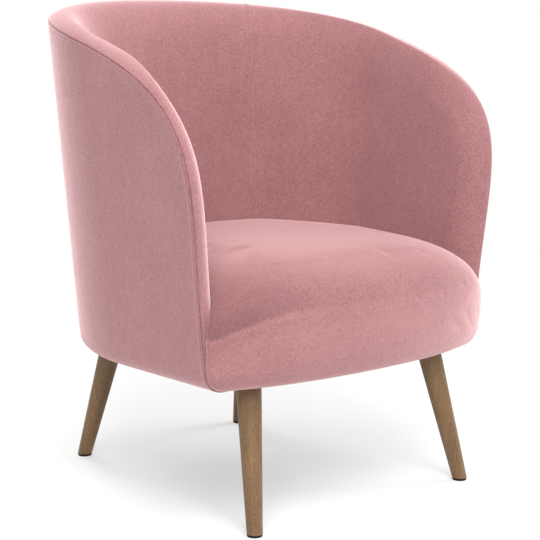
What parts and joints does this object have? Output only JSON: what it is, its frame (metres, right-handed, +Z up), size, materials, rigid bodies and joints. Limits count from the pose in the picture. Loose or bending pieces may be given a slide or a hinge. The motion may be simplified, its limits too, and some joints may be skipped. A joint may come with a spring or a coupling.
{
  "type": "armchair",
  "caption": "Velvet tub armchair with a wrap-round back sweeping down to the arms, a plump tight seat and splayed tapered wooden legs.",
  "frame": {"origin": "on the floor under the middle of the chair's bounding box", "axes": "+Z up; the sitter faces -Y; +X is on the sitter's left hand"},
  "size_m": [0.6878, 0.594, 0.8],
  "materials": {
    "velvet": "short pile velvet, dusty pink",
    "foam": "open cell foam",
    "fleece": "polyester wadding",
    "fibreboard": "smooth fibreboard",
    "plywood": "sanded birch plywood",
    "timber": "planed beech",
    "oak": "matt oiled oak",
    "glide": "moulded nylon",
    "steel": "zinc plated",
    "webbing": "woven elastic webbing",
    "cambric": "spunbonded cloth"
  },
  "bodies": {
    "root": {"back_middle_rails": "plywood", "back_post_centre": "plywood", "back_post_left": "plywood", "back_post_right": "plywood", "back_rail": "plywood", "back_top_rail": "plywood", "base_ring": "plywood", "corner_block_back_left": "timber", "corner_block_back_right": "timber", "corner_block_front_left": "timber", "corner_block_front_right": "timber", "dust_cover": "cambric", "foam_back": "foam", "foam_left": "foam", "foam_right": "foam", "frame_screws": "steel", "front_rail": "plywood", "glide_back_left": "glide", "glide_back_right": "glide", "glide_front_left": "glide", "glide_front_right": "glide", "inside_cover_back": "velvet", "inside_cover_left": "velvet", "inside_cover_right": "velvet", "leg_back_left": "oak", "leg_back_right": "oak", "leg_bolts": "steel", "leg_front_left": "oak", "leg_front_right": "oak", "leg_nuts": "steel", "outer_board": "fibreboard", "outer_wadding": "fleece", "outside_cover_back": "velvet", "outside_cover_left": "velvet", "outside_cover_right": "velvet", "ring_screws": "steel", "seat_cover": "velvet", "seat_fleece": "fleece", "seat_foam": "foam", "seat_webbing_crosswise": "webbing", "seat_webbing_lengthwise": "webbing", "side_frame_left": "plywood", "side_frame_right": "plywood", "side_rail_left": "plywood", "side_rail_right": "plywood", "tub_straps": "webbing"}
  },
  "joints": []
}
